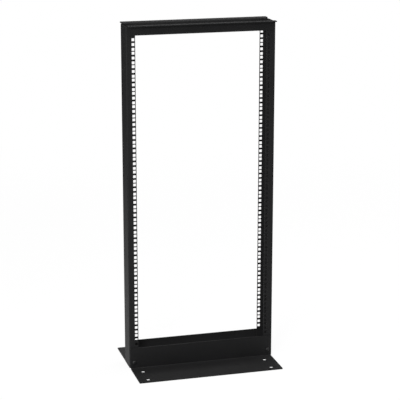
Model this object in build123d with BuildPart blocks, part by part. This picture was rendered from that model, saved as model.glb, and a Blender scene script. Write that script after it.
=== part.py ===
from build123d import *
import os

# A two post open frame rack for 24 units of equipment, in bent and punched sheet steel.
# Two channel uprights stand between two base angles, bolted on, and two top angles, welded on.
# Millimetres, +Z up, the front toward -Y, the origin on the floor in the middle of the base.

# Equipment pattern: three square holes to each unit, in the front and the rear flanges
unit_count = 24
unit_height = 44.45
holes_per_unit = 3
hole_size = 9.5
hole_margin = 6.35  # from a unit's lower edge to its first hole
hole_step = 15.875  # between the holes of a unit
hole_inset = 7.125  # of the hole column from the flange's free edge

# Uprights: channels with the web outside and the flanges turned inward
clear_width = 450.85  # between the flanges of the two uprights
channel_depth = 76.2
flange_width = 31.75
channel_sheet = 2.0
channel_bend = 2.0  # inner radius
upright_setback = 4.5  # of the uprights' ends from the floor and from the top

# Angles: one leg against the flanges, the other level and turned outward
angle_setback = 3.175  # of the angles' ends from the outside of the uprights
angle_sheet = 3.0
angle_bend = 3.0  # inner radius
angle_corner = 3.0  # radius at the free corners
base_leg = 77.0
base_foot = 138.0
top_leg = 33.5
top_ledge = 26.0
unit_clearance = 7.2  # between the units and the angles above and below them

# Holes for the bolts that join the base angles to the flanges, and for anchors in the floor
bolt_hole = 9.0
bolt_level = 25.4  # above the floor
anchor_hole = 14.0
anchor_inset = 34.9  # from the angles' ends
anchor_reach = 38.1  # from the flanges' faces to the nearer anchors
anchor_toe = 23.7  # from the farther anchors to the feet's free edges

# Places that follow from these sizes
first_unit = base_leg + unit_clearance
last_unit = first_unit + unit_count * unit_height
top_level = last_unit + unit_clearance + top_leg
upright_height = top_level - 2 * upright_setback
outer_width = clear_width + 2 * flange_width
flange_face = channel_depth / 2
hole_column = clear_width / 2 + hole_inset
angle_length = outer_width - 2 * angle_setback
bolt_across = outer_width - flange_width
anchor_across = angle_length - 2 * anchor_inset
anchor_step = base_foot - anchor_reach - anchor_toe
anchor_middle = flange_face + anchor_reach + anchor_step / 2

# Planes: the front of the flanges, and the front angles' bends with x outward and y along the leg
front_face = Plane.XZ.offset(flange_face)
base_bend = Plane((0, -flange_face, 0), x_dir=(0, -1, 0), z_dir=(-1, 0, 0))
top_bend = Plane((0, -flange_face, top_level), x_dir=(0, -1, 0), z_dir=(1, 0, 0))


with BuildPart() as right_upright:
    with BuildSketch(Plane.XY.offset(upright_setback)):
        with BuildLine():
            FilletPolyline(
                (clear_width / 2, -flange_face),
                (outer_width / 2, -flange_face),
                (outer_width / 2, flange_face),
                (clear_width / 2, flange_face),
                radius=channel_bend + channel_sheet,
            )
            offset(amount=channel_sheet, side=Side.LEFT)
        make_face()
    extrude(amount=upright_height)
    # Square equipment holes and a round bolt hole, punched through both flanges
    with BuildSketch(front_face):
        for place in range(holes_per_unit):
            with Locations((hole_column, first_unit + hole_margin + place * hole_step)):
                with GridLocations(
                    unit_height, unit_height, 1, unit_count, align=(Align.CENTER, Align.MIN)
                ):
                    Rectangle(hole_size, hole_size)
        with Locations((bolt_across / 2, bolt_level)):
            Circle(bolt_hole / 2)
    extrude(amount=-channel_depth, mode=Mode.SUBTRACT)

with BuildPart() as left_upright:
    mirror(right_upright.part, about=Plane.YZ)

with BuildPart() as front_base_angle:
    with BuildSketch(base_bend):
        with BuildLine():
            FilletPolyline((base_foot, 0), (0, 0), (0, base_leg), radius=angle_bend + angle_sheet)
            offset(amount=angle_sheet, side=Side.RIGHT)
        make_face()
    extrude(amount=angle_length / 2, both=True)
    toe_corners = front_base_angle.edges().filter_by(Axis.Z).group_by(Axis.Y)[0]
    leg_corners = front_base_angle.edges().filter_by(Axis.Y).group_by(Axis.Z)[-1]
    fillet(toe_corners + leg_corners, radius=angle_corner)
    # Anchor holes in the foot
    with Locations((0, -anchor_middle, angle_sheet)):
        with GridLocations(anchor_across, anchor_step, 2, 2):
            Hole(radius=anchor_hole / 2, depth=angle_sheet)
    # Bolt holes in the leg
    with BuildSketch(front_face):
        with Locations((-bolt_across / 2, bolt_level), (bolt_across / 2, bolt_level)):
            Circle(bolt_hole / 2)
    extrude(amount=angle_sheet, mode=Mode.SUBTRACT)

with BuildPart() as rear_base_angle:
    mirror(front_base_angle.part, about=Plane.XZ)

with BuildPart() as front_top_angle:
    with BuildSketch(top_bend):
        with BuildLine():
            FilletPolyline((top_ledge, 0), (0, 0), (0, top_leg), radius=angle_bend + angle_sheet)
            offset(amount=angle_sheet, side=Side.RIGHT)
        make_face()
    extrude(amount=angle_length / 2, both=True)
    ledge_corners = front_top_angle.edges().filter_by(Axis.Z).group_by(Axis.Y)[0]
    leg_corners = front_top_angle.edges().filter_by(Axis.Y).group_by(Axis.Z)[0]
    fillet(ledge_corners + leg_corners, radius=angle_corner)

with BuildPart() as rear_top_angle:
    mirror(front_top_angle.part, about=Plane.XZ)

left_upright.part.label = "left_upright"
right_upright.part.label = "right_upright"
front_base_angle.part.label = "front_base_angle"
rear_base_angle.part.label = "rear_base_angle"
front_top_angle.part.label = "front_top_angle"
rear_top_angle.part.label = "rear_top_angle"

os.makedirs("parts", exist_ok=True)
export_step(left_upright.part, "parts/left_upright.step")
export_step(right_upright.part, "parts/right_upright.step")
export_step(front_base_angle.part, "parts/front_base_angle.step")
export_step(rear_base_angle.part, "parts/rear_base_angle.step")
export_step(front_top_angle.part, "parts/front_top_angle.step")
export_step(rear_top_angle.part, "parts/rear_top_angle.step")
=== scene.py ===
import math
from functools import partial

import bpy
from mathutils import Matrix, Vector


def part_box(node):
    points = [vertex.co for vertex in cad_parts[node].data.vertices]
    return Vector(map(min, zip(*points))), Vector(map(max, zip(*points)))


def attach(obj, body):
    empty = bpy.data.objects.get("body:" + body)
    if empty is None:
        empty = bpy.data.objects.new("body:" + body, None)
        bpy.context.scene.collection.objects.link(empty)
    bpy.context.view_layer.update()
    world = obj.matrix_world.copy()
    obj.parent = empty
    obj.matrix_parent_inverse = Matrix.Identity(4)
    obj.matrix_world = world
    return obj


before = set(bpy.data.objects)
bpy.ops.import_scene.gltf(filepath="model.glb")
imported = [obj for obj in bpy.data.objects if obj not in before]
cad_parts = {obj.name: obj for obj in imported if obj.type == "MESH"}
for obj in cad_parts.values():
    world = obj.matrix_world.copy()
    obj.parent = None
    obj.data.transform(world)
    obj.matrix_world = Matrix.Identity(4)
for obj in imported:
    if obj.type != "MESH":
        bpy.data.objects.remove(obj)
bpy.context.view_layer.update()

scene = bpy.context.scene
uprightNames = ("left_upright", "right_upright")
print("rack frame loaded:", ", ".join(sorted(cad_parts)))


# small helpers for node trees

def setInputs(tree, node, inputs):  # each from another node's socket, or as a plain value
    for key, value in inputs.items():
        if isinstance(value, bpy.types.NodeSocket):
            tree.links.new(value, node.inputs[key])
        else:
            node.inputs[key].default_value = value


def addNode(tree, kind, inputs=None, **settings):
    node = tree.nodes.new(kind)
    for key, value in settings.items():
        setattr(node, key, value)
    setInputs(tree, node, inputs or {})
    return node


def mathNode(tree, operation, first, second=0.0, clamp=False):
    inputs = {0: first, 1: second}
    return addNode(tree, "ShaderNodeMath", inputs, operation=operation, use_clamp=clamp).outputs[0]


def noiseNode(tree, place, scale, detail, roughness=0.5):
    inputs = {"Vector": place, "Scale": scale, "Detail": detail, "Roughness": roughness}
    return addNode(tree, "ShaderNodeTexNoise", inputs).outputs["Fac"]


def fadeNode(tree, value, start, end):  # 1 at start, 0 at end, smooth between
    inputs = {"Value": value, "From Min": start, "From Max": end, "To Min": 1.0, "To Max": 0.0}
    return addNode(tree, "ShaderNodeMapRange", inputs, interpolation_type="SMOOTHSTEP").outputs["Result"]


def swingNode(tree, mask, spread):  # both ways from zero, for a mask that varies about a half
    return mathNode(tree, "MULTIPLY", mathNode(tree, "SUBTRACT", mask, 0.5), spread)


def mixColour(tree, factor, first, second):  # by number: the colour sockets share their names with others
    mix = addNode(tree, "ShaderNodeMix", {0: factor, 6: first, 7: second}, data_type="RGBA")
    return mix.outputs[2]


def bumpNode(tree, height, finish):
    inputs = {"Height": height, "Strength": finish["bumpStrength"], "Distance": finish["bumpDepth"]}
    return addNode(tree, "ShaderNodeBump", inputs).outputs["Normal"]


def newGroup(name, kind, inputs, outputs):  # sockets by name, with their types
    tree = bpy.data.node_groups.new(name, kind)
    for direction, sockets in (("INPUT", inputs), ("OUTPUT", outputs)):
        for label, valueType in sockets.items():
            tree.interface.new_socket(name=label, in_out=direction, socket_type="NodeSocket" + valueType)
    given = tree.nodes.new("NodeGroupInput")
    result = tree.nodes.new("NodeGroupOutput")
    return tree, given.outputs, result


def groupNode(tree, group, inputs):
    return addNode(tree, "ShaderNodeGroup", inputs, node_tree=group).outputs


def newMaterial(name):
    material = bpy.data.materials.new(name)
    material.use_nodes = True
    tree = material.node_tree
    return material, tree, tree.nodes["Principled BSDF"]


# satin black powder coat on all the sheets

coatFinish = {
    "deep": (0.0075, 0.0075, 0.0078, 1.0),
    "pale": (0.0108, 0.0108, 0.0112, 1.0),
    # painted highlight, partly real: a lighter tone along each piece's box edges and bends, where the coat
    # is also thinner
    "edge": (0.040, 0.040, 0.041, 1.0),
    "dust": (0.070, 0.068, 0.065, 1.0),
    "specular": 0.12,
    "roughness": 0.56,
    "roughnessSpread": 0.12,
    "dustRoughness": 0.3,  # added under full dust
    "peelSize": 0.0022,
    "peelShare": 0.75,  # of the bump's height, and the grain has the rest
    "grainSize": 0.0005,
    "bumpDepth": 0.0002,
    "bumpStrength": 0.6,
    "edgeWidth": 0.0035,
    "edgeShare": 0.10,
    "edgeBreaks": 60.0,  # noise scale that breaks up the edge line
    "dustPatch": 0.05,
    "dustLevel": 0.95,  # how far a face looks up where dust lies fully
    "dustSlope": 0.5,  # and where none stays
}
coatDrift = {  # how wide the gloss drifts, and how much dust lies, on each piece
    "left_upright": (0.11, 0.02),
    "right_upright": (0.13, 0.02),
    "front_base_angle": (0.08, 0.05),
    "rear_base_angle": (0.09, 0.05),
    "front_top_angle": (0.07, 0.06),
    "rear_top_angle": (0.075, 0.06),
}


def makeCoatGrain():  # orange peel, fine grain and a slow drift of gloss
    tree, given, result = newGroup(
        "coatGrain", "ShaderNodeTree",
        {"Vector": "Vector", "Peel Size": "Float", "Grain Size": "Float", "Drift Size": "Float"},
        {"Height": "Float", "Grain": "Float", "Drift": "Float"})
    calc = partial(mathNode, tree)

    def noise(size, detail):
        return noiseNode(tree, given["Vector"], calc("DIVIDE", 1.0, given[size]), detail, roughness=0.55)

    peel = noise("Peel Size", detail=1.0)
    grain = noise("Grain Size", detail=2.0)
    drift = noise("Drift Size", detail=3.0)
    peelPart = calc("MULTIPLY", peel, coatFinish["peelShare"])
    grainPart = calc("MULTIPLY", grain, 1.0 - coatFinish["peelShare"])
    setInputs(tree, result, {"Height": calc("ADD", peelPart, grainPart), "Grain": grain, "Drift": drift})
    return tree


def makeThinCoatAndHighlightLine():  # a thin lighter line along the edges of a piece's box: partly where the coat pulls back, partly a painted highlight on the bends
    tree, given, result = newGroup(
        "edgeLine", "ShaderNodeTree",
        {"Vector": "Vector", "Low Corner": "Vector", "High Corner": "Vector", "Width": "Float"},
        {"Mask": "Float"})
    calc = partial(mathNode, tree)

    def vectorNode(operation, first, second):
        node = addNode(tree, "ShaderNodeVectorMath", {0: first, 1: second}, operation=operation)
        return node.outputs["Vector"]

    fromLow = vectorNode("SUBTRACT", given["Vector"], given["Low Corner"])
    fromHigh = vectorNode("SUBTRACT", given["High Corner"], given["Vector"])
    nearest = addNode(tree, "ShaderNodeSeparateXYZ", {0: vectorNode("MINIMUM", fromLow, fromHigh)})
    x, y, z = nearest.outputs
    smallest = calc("MINIMUM", calc("MINIMUM", x, y), z)
    largest = calc("MAXIMUM", calc("MAXIMUM", x, y), z)
    total = calc("ADD", calc("ADD", x, y), z)
    middle = calc("SUBTRACT", calc("SUBTRACT", total, smallest), largest)  # small only near two sides
    # painted highlight, partly a thinner coat: the mask lies along the box's edges and bends
    line = fadeNode(tree, middle, 0.0, given["Width"])
    breaks = noiseNode(tree, given["Vector"], coatFinish["edgeBreaks"], detail=3.0)
    setInputs(tree, result, {"Mask": calc("MULTIPLY", line, breaks, clamp=True)})
    return tree


def makeSettledDust():  # faint, on what faces up
    tree, given, result = newGroup(
        "settledDust", "ShaderNodeTree",
        {"Vector": "Vector", "Normal": "Vector", "Patch Size": "Float"},
        {"Mask": "Float"})
    up = addNode(tree, "ShaderNodeSeparateXYZ", {0: given["Normal"]}).outputs["Z"]
    lying = fadeNode(tree, up, coatFinish["dustLevel"], coatFinish["dustSlope"])
    scale = mathNode(tree, "DIVIDE", 1.0, given["Patch Size"])
    patches = noiseNode(tree, given["Vector"], scale, detail=6.0, roughness=0.7)
    setInputs(tree, result, {"Mask": mathNode(tree, "MULTIPLY", lying, patches, clamp=True)})
    return tree


coatGrain = makeCoatGrain()
edgeLine = makeThinCoatAndHighlightLine()
settledDust = makeSettledDust()


def makePowderCoat(name, nodeName, driftSize, dustShare):
    finish = coatFinish
    material, tree, shader = newMaterial(name)
    calc = partial(mathNode, tree)
    place = addNode(tree, "ShaderNodeTexCoord").outputs["Object"]
    normal = addNode(tree, "ShaderNodeNewGeometry").outputs["Normal"]
    low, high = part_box(nodeName)
    grain = groupNode(tree, coatGrain, {
        "Vector": place,
        "Peel Size": finish["peelSize"],
        "Grain Size": finish["grainSize"],
        "Drift Size": driftSize,
    })
    edge = groupNode(tree, edgeLine, {
        "Vector": place,
        "Low Corner": low,
        "High Corner": high,
        "Width": finish["edgeWidth"],
    })
    dust = groupNode(tree, settledDust, {
        "Vector": place,
        "Normal": normal,
        "Patch Size": finish["dustPatch"],
    })

    edgeMask = calc("MULTIPLY", edge["Mask"], finish["edgeShare"])
    dustMask = calc("MULTIPLY", dust["Mask"], dustShare)
    coat = mixColour(tree, grain["Drift"], finish["deep"], finish["pale"])
    # painted highlight along the box's edges and bends, partly a thinner coat there
    coat = mixColour(tree, edgeMask, coat, finish["edge"])
    coat = mixColour(tree, dustMask, coat, finish["dust"])

    spread = swingNode(tree, grain["Drift"], finish["roughnessSpread"])
    flecks = swingNode(tree, grain["Grain"], finish["roughnessSpread"])
    roughness = calc("ADD", calc("ADD", spread, flecks), finish["roughness"])
    dulled = calc("MULTIPLY", dustMask, finish["dustRoughness"])
    setInputs(tree, shader, {
        "Base Color": coat,
        "Roughness": calc("ADD", roughness, dulled, clamp=True),
        "Normal": bumpNode(tree, grain["Height"], finish),
        "Specular IOR Level": finish["specular"],
    })
    return material


for nodeName, (driftSize, dustShare) in coatDrift.items():
    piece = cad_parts[nodeName]
    piece.material_slots[0].material = makePowderCoat(nodeName + "_coat", nodeName, driftSize, dustShare)
print("powder coat on", len(coatDrift), "pieces")


# helpers for pieces grown by Geometry Nodes

def raised(tree, geometry, height):
    offset = addNode(tree, "ShaderNodeCombineXYZ", {"Z": height}).outputs[0]
    return addNode(tree, "GeometryNodeTransform", {"Geometry": geometry, "Translation": offset}).outputs[0]


def skinCurve(tree, curve, radius, sides):  # a closed round skin, as thick as the radius at each point
    sized = addNode(tree, "GeometryNodeSetCurveRadius", {"Curve": curve, "Radius": radius}).outputs[0]
    ring = addNode(tree, "GeometryNodeCurvePrimitiveCircle", {"Resolution": sides, "Radius": 1.0})
    scale = addNode(tree, "GeometryNodeInputRadius").outputs[0]
    inputs = {"Curve": sized, "Profile Curve": ring.outputs[0], "Scale": scale, "Fill Caps": True}
    return addNode(tree, "GeometryNodeCurveToMesh", inputs).outputs[0]


def stepNode(tree, index, values):  # the value in the list at this index
    chosen = values[0]
    for order in range(1, len(values)):
        reached = mathNode(tree, "GREATER_THAN", index, order - 0.5)
        rise = mathNode(tree, "SUBTRACT", values[order], values[order - 1])
        chosen = mathNode(tree, "ADD", chosen, mathNode(tree, "MULTIPLY", rise, reached))
    return chosen


def turnedSolid(tree, radii, heights, sides):  # turned about Z, with these radii at these heights
    spots = addNode(tree, "GeometryNodeMeshLine", {"Count": len(radii)}, mode="OFFSET").outputs[0]
    index = addNode(tree, "GeometryNodeInputIndex").outputs[0]
    spot = addNode(tree, "ShaderNodeCombineXYZ", {"Z": stepNode(tree, index, heights)}).outputs[0]
    moved = addNode(tree, "GeometryNodeSetPosition", {"Geometry": spots, "Position": spot}).outputs[0]
    axis = addNode(tree, "GeometryNodeMeshToCurve", {"Mesh": moved}).outputs[0]
    return skinCurve(tree, axis, stepNode(tree, index, radii), sides)


def turnedOutline(tree, outline, height, radius, sides):  # from shares of the height and of the radius
    radii = [mathNode(tree, "MULTIPLY", radius, share) for level, share in outline]
    heights = [mathNode(tree, "MULTIPLY", height, level) for level, share in outline]
    return turnedSolid(tree, radii, heights, sides)


def smoothByAngle(tree, geometry, limit):  # soft faces, with the edges that turn further kept sharp
    soft = addNode(tree, "GeometryNodeSetShadeSmooth", {
        "Geometry": geometry,
        "Shade Smooth": True,
    }, domain="FACE").outputs[0]
    angle = addNode(tree, "GeometryNodeInputMeshEdgeAngle").outputs["Unsigned Angle"]
    sharp = addNode(tree, "FunctionNodeCompare", {
        0: angle,
        1: limit,
    }, data_type="FLOAT", operation="GREATER_THAN").outputs[0]
    return addNode(tree, "GeometryNodeSetShadeSmooth", {
        "Geometry": soft,
        "Selection": sharp,
        "Shade Smooth": False,
    }, domain="EDGE").outputs[0]


def newPieceTree(name, sizes):  # seeds and named sizes in, the finished piece out
    inputs = {"Geometry": "Geometry"}
    inputs.update(dict.fromkeys(sizes, "Float"))
    return newGroup(name, "GeometryNodeTree", inputs, {"Geometry": "Geometry"})


def endTree(tree, geometry, material, result):
    real = addNode(tree, "GeometryNodeRealizeInstances", {"Geometry": geometry}).outputs[0]
    coated = addNode(tree, "GeometryNodeSetMaterial", {"Geometry": real, "Material": material})
    setInputs(tree, result, {"Geometry": coated.outputs[0]})


def growPiece(name, seeds, tree, sizes):  # a plain mesh from what the nodes grow on the seeds
    holder = bpy.data.objects.new(name, seeds)
    scene.collection.objects.link(holder)
    modifier = holder.modifiers.new(name, "NODES")
    modifier.node_group = tree
    for item in tree.interface.items_tree:
        if item.in_out == "INPUT" and item.name in sizes:
            modifier[item.identifier] = sizes[item.name]
    graph = bpy.context.evaluated_depsgraph_get()
    solid = bpy.data.meshes.new_from_object(holder.evaluated_get(graph), depsgraph=graph)
    holder.modifiers.clear()
    holder.data = solid
    solid.name = name
    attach(holder, "root")
    print(name + ":", len(solid.polygons), "faces")


# base bolts: domed socket heads outside, washers, nuts and thread ends inside the channels

boltSet = {
    "Head Width": 0.014,
    "Head Height": 0.0044,
    "Socket Across": 0.005,
    "Socket Depth": 0.0026,
    "Washer Width": 0.016,
    "Washer Thickness": 0.0016,
    "Thread Width": 0.008,
    "Thread Pitch": 0.00125,
    "Thread End": 0.0042,
    "Nut Across": 0.013,
    "Nut Height": 0.0065,
    "Grip": 0.005,  # base leg and flange together
}
boltShape = {
    "level": 0.0254,  # above the ground
    "legSheet": 0.003,
    "dome": [  # shares of the head's height and radius
        (0.0, 0.965), (0.04, 0.99), (0.10, 1.0), (0.22, 0.985), (0.38, 0.94), (0.54, 0.87),
        (0.70, 0.775), (0.84, 0.66), (0.93, 0.565), (0.98, 0.49), (1.0, 0.44),
    ],
    "washerRim": [(0.0, 0.975), (0.12, 1.0), (0.88, 1.0), (1.0, 0.975)],  # the same of the washer
    "nutFace": 0.95,  # shares of half the nut's width
    "nutRim": 1.16,
    "nutBevel": 0.26,  # share of half its height
    "threadCore": 0.86,  # shares of the thread's radius
    "threadBevel": 0.18,
    "threadTip": 0.8,  # share of the core's radius
    "threadRidge": 0.45,  # share of the pitch
    "roundSides": 40,
    "nutSides": 72,
    "coreSides": 24,
    "ridgeSides": 4,
    "turnSteps": 28,  # points in each turn of the thread
    "hexSides": 6,
    "sharpFrom": 0.55,
    "spinSeed": 7,
}
boltFinish = {
    "deep": (0.010, 0.010, 0.0105, 1.0),
    "pale": (0.017, 0.017, 0.0178, 1.0),
    "roughness": 0.40,
    "roughnessSwing": 0.16,
    "specular": 0.22,
    "grainSize": 0.0004,
    "driftSize": 0.003,
    "bumpDepth": 0.00005,
    "bumpStrength": 0.25,
}


def makeBlackenedSteel():
    finish = boltFinish
    material, tree, shader = newMaterial("blackenedSteel")
    grain = groupNode(tree, coatGrain, {
        "Vector": addNode(tree, "ShaderNodeTexCoord").outputs["Object"],
        "Grain Size": finish["grainSize"],
        "Drift Size": finish["driftSize"],
    })
    swing = swingNode(tree, grain["Grain"], finish["roughnessSwing"])
    setInputs(tree, shader, {
        "Base Color": mixColour(tree, grain["Drift"], finish["deep"], finish["pale"]),
        "Roughness": mathNode(tree, "ADD", swing, finish["roughness"], clamp=True),
        "Normal": bumpNode(tree, grain["Grain"], finish),
        "Specular IOR Level": finish["specular"],
    })
    return material


def domedHead(tree, size):
    high = size["Head Height"]
    radius = mathNode(tree, "MULTIPLY", size["Head Width"], 0.5)
    dome = turnedOutline(tree, boltShape["dome"], high, radius, boltShape["roundSides"])
    sides = boltShape["hexSides"]
    prism = addNode(tree, "GeometryNodeMeshCylinder", {
        "Vertices": sides,
        "Radius": mathNode(tree, "DIVIDE", size["Socket Across"], 2 * math.cos(math.pi / sides)),
        "Depth": mathNode(tree, "MULTIPLY", size["Socket Depth"], 2.0),  # half of it is above the head
    })
    socket = raised(tree, prism.outputs["Mesh"], high)
    cut = addNode(tree, "GeometryNodeMeshBoolean", {
        "Mesh 1": dome,
        "Mesh 2": socket,
    }, operation="DIFFERENCE", solver="EXACT")
    return cut.outputs["Mesh"]


def flatWasher(tree, size):
    radius = mathNode(tree, "MULTIPLY", size["Washer Width"], 0.5)
    thick = size["Washer Thickness"]
    return turnedOutline(tree, boltShape["washerRim"], thick, radius, boltShape["roundSides"])


def hexNut(tree, size):  # a barrel pulled in to a hexagon's flats, centred on its own height
    calc = partial(mathNode, tree)
    face = boltShape["nutFace"]
    rim = boltShape["nutRim"]
    bevel = boltShape["nutBevel"]
    halfAcross = calc("MULTIPLY", size["Nut Across"], 0.5)
    halfHigh = calc("MULTIPLY", size["Nut Height"], 0.5)
    outline = [(-1.0, face), (bevel - 1.0, rim), (1.0 - bevel, rim), (1.0, face)]
    barrel = turnedOutline(tree, outline, halfHigh, halfAcross, boltShape["nutSides"])

    spot = addNode(tree, "GeometryNodeInputPosition").outputs[0]
    x, y, z = addNode(tree, "ShaderNodeSeparateXYZ", {0: spot}).outputs
    flatSpot = addNode(tree, "ShaderNodeCombineXYZ", {"X": x, "Y": y}).outputs[0]
    radius = addNode(tree, "ShaderNodeVectorMath", {0: flatSpot}, operation="LENGTH").outputs["Value"]
    fromFlat = calc("PINGPONG", calc("ARCTAN2", y, x), math.pi / boltShape["hexSides"])
    reach = calc("DIVIDE", 1.0, calc("COSINE", fromFlat))  # of the hexagon, in halves of its width
    pull = calc("MINIMUM", calc("DIVIDE", calc("MULTIPLY", reach, halfAcross), radius), 1.0)
    sink = calc("DIVIDE", calc("SUBTRACT", reach, face), rim - face)  # the bevel is deepest at the corners
    fromEnd = calc("SUBTRACT", halfHigh, calc("ABSOLUTE", z))
    sunk = calc("SUBTRACT", halfHigh, calc("MULTIPLY", fromEnd, sink))
    pulled = addNode(tree, "ShaderNodeCombineXYZ", {
        "X": calc("MULTIPLY", x, pull),
        "Y": calc("MULTIPLY", y, pull),
        "Z": calc("MULTIPLY", sunk, calc("SIGN", z)),
    }).outputs[0]
    return addNode(tree, "GeometryNodeSetPosition", {"Geometry": barrel, "Position": pulled}).outputs[0]


def threadEnd(tree, size, nutEnd):  # the core with its bevelled tip, and the ridge past the nut
    calc = partial(mathNode, tree)
    radius = calc("MULTIPLY", size["Thread Width"], 0.5)
    core = calc("MULTIPLY", radius, boltShape["threadCore"])
    bevel = calc("MULTIPLY", radius, boltShape["threadBevel"])
    tip = calc("SUBTRACT", nutEnd, size["Thread End"])
    start = calc("ADD", tip, bevel)
    tipRadius = calc("MULTIPLY", core, boltShape["threadTip"])
    shank = turnedSolid(tree, [tipRadius, core, core], [tip, start, 0.0], boltShape["coreSides"])

    climb = calc("SUBTRACT", size["Thread End"], bevel)
    spiral = addNode(tree, "GeometryNodeCurveSpiral", {
        "Resolution": boltShape["turnSteps"],
        "Rotations": calc("DIVIDE", climb, size["Thread Pitch"]),
        "Start Radius": core,
        "End Radius": core,
        "Height": climb,
    })
    ridge = addNode(tree, "GeometryNodeCurvePrimitiveCircle", {
        "Resolution": boltShape["ridgeSides"],
        "Radius": calc("MULTIPLY", size["Thread Pitch"], boltShape["threadRidge"]),
    })
    thread = addNode(tree, "GeometryNodeCurveToMesh", {
        "Curve": spiral.outputs[0],
        "Profile Curve": ridge.outputs[0],
        "Fill Caps": True,
    })
    return shank, raised(tree, thread.outputs[0], start)


def makeBoltTree(material):  # each bolt stands on its base leg, with Z outward
    tree, size, result = newPieceTree("baseBolt", boltSet)
    calc = partial(mathNode, tree)
    flangeBack = calc("MULTIPLY", size["Grip"], -1.0)
    nutSeat = calc("SUBTRACT", flangeBack, size["Washer Thickness"])
    nutMiddle = calc("SUBTRACT", nutSeat, calc("MULTIPLY", size["Nut Height"], 0.5))
    nutEnd = calc("SUBTRACT", nutSeat, size["Nut Height"])
    head = domedHead(tree, size)
    washer = raised(tree, flatWasher(tree, size), nutSeat)
    nut = raised(tree, hexNut(tree, size), nutMiddle)
    shank, thread = threadEnd(tree, size, nutEnd)
    bolt = addNode(tree, "GeometryNodeJoinGeometry")
    for piece in (head, washer, nut, shank, thread):
        tree.links.new(smoothByAngle(tree, piece, boltShape["sharpFrom"]), bolt.inputs[0])

    facing = addNode(tree, "GeometryNodeInputNamedAttribute", {"Name": "outward"}, data_type="FLOAT_VECTOR")
    outward = facing.outputs["Attribute"]
    turn = addNode(tree, "FunctionNodeAlignRotationToVector", {"Vector": outward}, axis="Z")
    spin = addNode(tree, "FunctionNodeRandomValue", {
        2: 0.0,  # least and most, as plain numbers
        3: math.tau / boltShape["hexSides"],
        "Seed": boltShape["spinSeed"],
    }, data_type="FLOAT").outputs[1]
    axisTurn = addNode(tree, "FunctionNodeAxisAngleToRotation", {"Axis": (0.0, 0.0, 1.0), "Angle": spin})
    spun = addNode(tree, "FunctionNodeRotateRotation", {
        "Rotation": turn.outputs["Rotation"],
        "Rotate By": axisTurn.outputs[0],
    }, rotation_space="LOCAL")
    copies = addNode(tree, "GeometryNodeInstanceOnPoints", {
        "Points": size["Geometry"],
        "Instance": bolt.outputs[0],
        "Rotation": spun.outputs[0],
    })
    endTree(tree, copies.outputs[0], material, result)
    return tree


def boltSeats():  # where each bolt stands on its base leg, and the way out
    seats = []
    for outward in (-1, 1):
        for uprightName in uprightNames:
            low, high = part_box(uprightName)
            flangeFace = low[1] if outward < 0 else high[1]
            legFace = flangeFace + outward * boltShape["legSheet"]
            seats.append((((low[0] + high[0]) / 2, legFace, boltShape["level"]), (0.0, outward, 0.0)))
    return seats


seats = boltSeats()
boltSeeds = bpy.data.meshes.new("boltSeeds")
boltSeeds.from_pydata([place for place, outward in seats], [], [])
outwardLayer = boltSeeds.attributes.new("outward", "FLOAT_VECTOR", "POINT")
for index, (place, outward) in enumerate(seats):
    outwardLayer.data[index].vector = outward
growPiece("base_bolts", boltSeeds, makeBoltTree(makeBlackenedSteel()), boltSet)


# weld beads along the flanges' upper ends, behind the top angles

weldSet = {
    "Bead Radius": 0.0019,
    "Ripple Pitch": 0.0017,
    "Ripple Share": 0.07,
    "Wander Share": 0.14,
    "End Taper": 0.0025,
}
weldShape = {
    "fromEdge": 0.0015,  # how far the bead stops short of each end of the joint
    "rise": 0.0004,
    "inward": 0.0009,
    "step": 0.00028,  # from ring to ring
    "sides": 18,
    "wanderScale": 320.0,
    "endShare": 0.02,  # of its section, left at the very ends
    "sharpFrom": 0.8,
}
weldFinish = {"driftSize": 0.02, "dustShare": 0.02}


def makeWeldTree(material):
    tree, size, result = newPieceTree("weldBead", weldSet)
    calc = partial(mathNode, tree)
    seam = addNode(tree, "GeometryNodeMeshToCurve", {"Mesh": size["Geometry"]}).outputs[0]
    spacing = {"Curve": seam, "Length": weldShape["step"]}
    path = addNode(tree, "GeometryNodeResampleCurve", spacing, mode="LENGTH").outputs[0]
    along = addNode(tree, "GeometryNodeSplineParameter").outputs["Length"]
    whole = addNode(tree, "GeometryNodeSplineLength").outputs["Length"]

    wave = calc("SINE", calc("MULTIPLY", calc("DIVIDE", along, size["Ripple Pitch"]), math.tau))
    ripple = calc("MULTIPLY", wave, size["Ripple Share"])
    spot = addNode(tree, "GeometryNodeInputPosition").outputs[0]
    noise = noiseNode(tree, spot, weldShape["wanderScale"], detail=1.0)
    wander = swingNode(tree, noise, size["Wander Share"])
    toEnd = calc("MINIMUM", along, calc("SUBTRACT", whole, along))
    short = calc("SUBTRACT", 1.0, calc("DIVIDE", toEnd, size["End Taper"]), clamp=True)
    section = calc("SUBTRACT", 1.0 + weldShape["endShare"], calc("MULTIPLY", short, short))
    share = calc("ADD", calc("ADD", ripple, wander), 1.0)
    share = calc("MULTIPLY", share, calc("SQRT", section))
    radius = calc("MULTIPLY", share, size["Bead Radius"])
    bead = skinCurve(tree, path, radius, weldShape["sides"])
    endTree(tree, smoothByAngle(tree, bead, weldShape["sharpFrom"]), material, result)
    return tree


def weldSeams():  # the two ends of each bead
    seams = []
    angleLow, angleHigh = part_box("front_top_angle")
    for uprightName in uprightNames:
        low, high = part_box(uprightName)
        first = max(low[0], angleLow[0]) + weldShape["fromEdge"]
        last = min(high[0], angleHigh[0]) - weldShape["fromEdge"]
        level = high[2] + weldShape["rise"]
        for wall, inward in ((low[1], 1), (high[1], -1)):
            depth = wall + inward * weldShape["inward"]
            seams.append([(first, depth, level), (last, depth, level)])
    return seams


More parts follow.
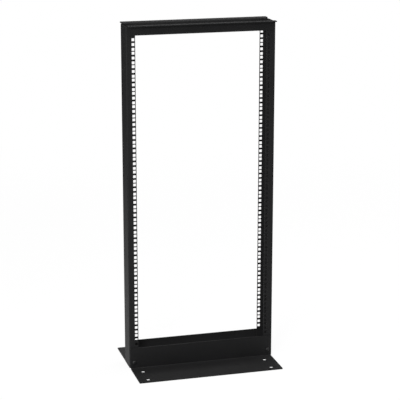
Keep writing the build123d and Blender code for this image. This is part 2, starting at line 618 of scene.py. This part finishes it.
weldPoints = [point for seam in weldSeams() for point in seam]
weldLines = [(start, start + 1) for start in range(0, len(weldPoints), 2)]
weldSeeds = bpy.data.meshes.new("weldSeeds")
weldSeeds.from_pydata(weldPoints, weldLines, [])
weldCoat = makePowderCoat("weld_coat", "front_top_angle", weldFinish["driftSize"], weldFinish["dustShare"])
growPiece("top_welds", weldSeeds, makeWeldTree(weldCoat), weldSet)


# floor, light and camera

whiteTone = (1.0, 1.0, 1.0, 1.0)
floorSetup = {
    "halfSide": 30.0,
    "tone": (0.86, 0.86, 0.86, 1.0),
    "roughness": 0.9,
    "shadeShare": 0.09,  # of its own shading, which keeps the shadow near the rack
    "shadeEdge": 1.0,
    "shadeEnd": 3.5,
    "mirrorEdge": 0.7,  # reflections of the ground darken from here outward
    "mirrorEnd": 3.45,
    "mirrorShare": 0.10,
}


def makePaleFloor():
    setup = floorSetup
    material, tree, shader = newMaterial("paleFloor")
    calc = partial(mathNode, tree)
    setInputs(tree, shader, {
        "Base Color": setup["tone"],
        "Roughness": setup["roughness"],
        "Specular IOR Level": 0.0,
    })
    spot = addNode(tree, "ShaderNodeTexCoord").outputs["Object"]
    reach = addNode(tree, "ShaderNodeVectorMath", {0: spot}, operation="LENGTH").outputs["Value"]
    rays = addNode(tree, "ShaderNodeLightPath").outputs
    seen = calc("MAXIMUM", rays["Is Camera Ray"], rays["Is Glossy Ray"])
    seen = calc("MAXIMUM", seen, rays["Is Transmission Ray"])
    shade = fadeNode(tree, reach, setup["shadeEdge"], setup["shadeEnd"])
    shade = calc("MULTIPLY", shade, setup["shadeShare"])
    share = calc("MULTIPLY", seen, calc("SUBTRACT", 1.0, shade))
    mirrored = fadeNode(tree, reach, setup["mirrorEdge"], setup["mirrorEnd"])
    mirrored = calc("MAXIMUM", mirrored, setup["mirrorShare"])
    strength = calc("MAXIMUM", rays["Is Camera Ray"], mirrored)
    white = addNode(tree, "ShaderNodeEmission", {"Color": whiteTone, "Strength": strength})
    mix = addNode(tree, "ShaderNodeMixShader", {0: share, 1: shader.outputs[0], 2: white.outputs[0]})
    setInputs(tree, tree.nodes["Material Output"], {"Surface": mix.outputs[0]})
    return material


def makeFloor():
    half = floorSetup["halfSide"]
    corners = [(-half, -half, 0), (half, -half, 0), (half, half, 0), (-half, half, 0)]
    mesh = bpy.data.meshes.new("studioFloor")
    mesh.from_pydata(corners, [], [(0, 1, 2, 3)])
    mesh.materials.append(makePaleFloor())
    floor = bpy.data.objects.new("studioFloor", mesh)
    scene.collection.objects.link(floor)


lampSetup = {  # place, aim, width, depth and watts
    "keySoftbox": ((-2.60, -4.20, 2.40), (0.0, 0.0, 0.6), 1.6, 1.6, 196.0),
    "leftSoftbox": ((-4.20, -1.40, 2.20), (0.0, 0.0, 0.6), 1.6, 1.6, 74.0),
    "rightSoftbox": ((4.00, 0.80, 2.20), (0.0, 0.0, 0.6), 1.6, 1.6, 70.0),
    "overheadSoftbox": ((0.30, -0.80, 3.60), (0.0, 0.0, 0.6), 3.0, 3.0, 102.0),
    "backSoftbox": ((0.90, 2.25, 3.45), (0.0, 0.0, 0.3), 3.4, 1.5, 36.0),
    "lowBackSoftbox": ((0.30, 3.60, 0.90), (-0.1, 0.0, 0.2), 1.4, 0.6, 8.0),
}
skyTone = (0.04, 0.04, 0.04, 1.0)


def makeLamps():
    for name, (place, aim, width, depth, watts) in lampSetup.items():
        lamp = bpy.data.lights.new(name, "AREA")
        lamp.shape = "RECTANGLE"
        lamp.size = width
        lamp.size_y = depth
        lamp.energy = watts
        holder = bpy.data.objects.new(name, lamp)
        holder.location = place
        holder.rotation_euler = (Vector(aim) - Vector(place)).to_track_quat("-Z", "Y").to_euler()
        holder.visible_camera = False
        scene.collection.objects.link(holder)


def makeSky():  # white to the camera, dim to all other rays
    world = bpy.data.worlds.new("studioAir")
    scene.world = world
    world.use_nodes = True
    tree = world.node_tree
    toCamera = addNode(tree, "ShaderNodeLightPath").outputs["Is Camera Ray"]
    setInputs(tree, tree.nodes["Background"], {"Color": mixColour(tree, toCamera, skyTone, whiteTone)})


cameraSetup = {
    "place": (-1.2962, -4.7038, 1.8566),
    "pitchDown": 14.684,
    "yawRight": 15.463,
    "lens": 132.47,
    "sensor": 36.0,
}


def makeCamera():
    lens = bpy.data.cameras.new("photoCamera")
    lens.lens = cameraSetup["lens"]
    lens.sensor_width = cameraSetup["sensor"]
    lens.dof.use_dof = False
    camera = bpy.data.objects.new("photoCamera", lens)
    camera.location = cameraSetup["place"]
    pitch = math.radians(90 - cameraSetup["pitchDown"])
    yaw = -math.radians(cameraSetup["yawRight"])
    camera.rotation_euler = (pitch, 0.0, yaw)
    scene.collection.objects.link(camera)
    scene.camera = camera


makeFloor()
makeLamps()
makeSky()
makeCamera()
scene.view_settings.view_transform = "Standard"
print("floor, lamps and camera set")
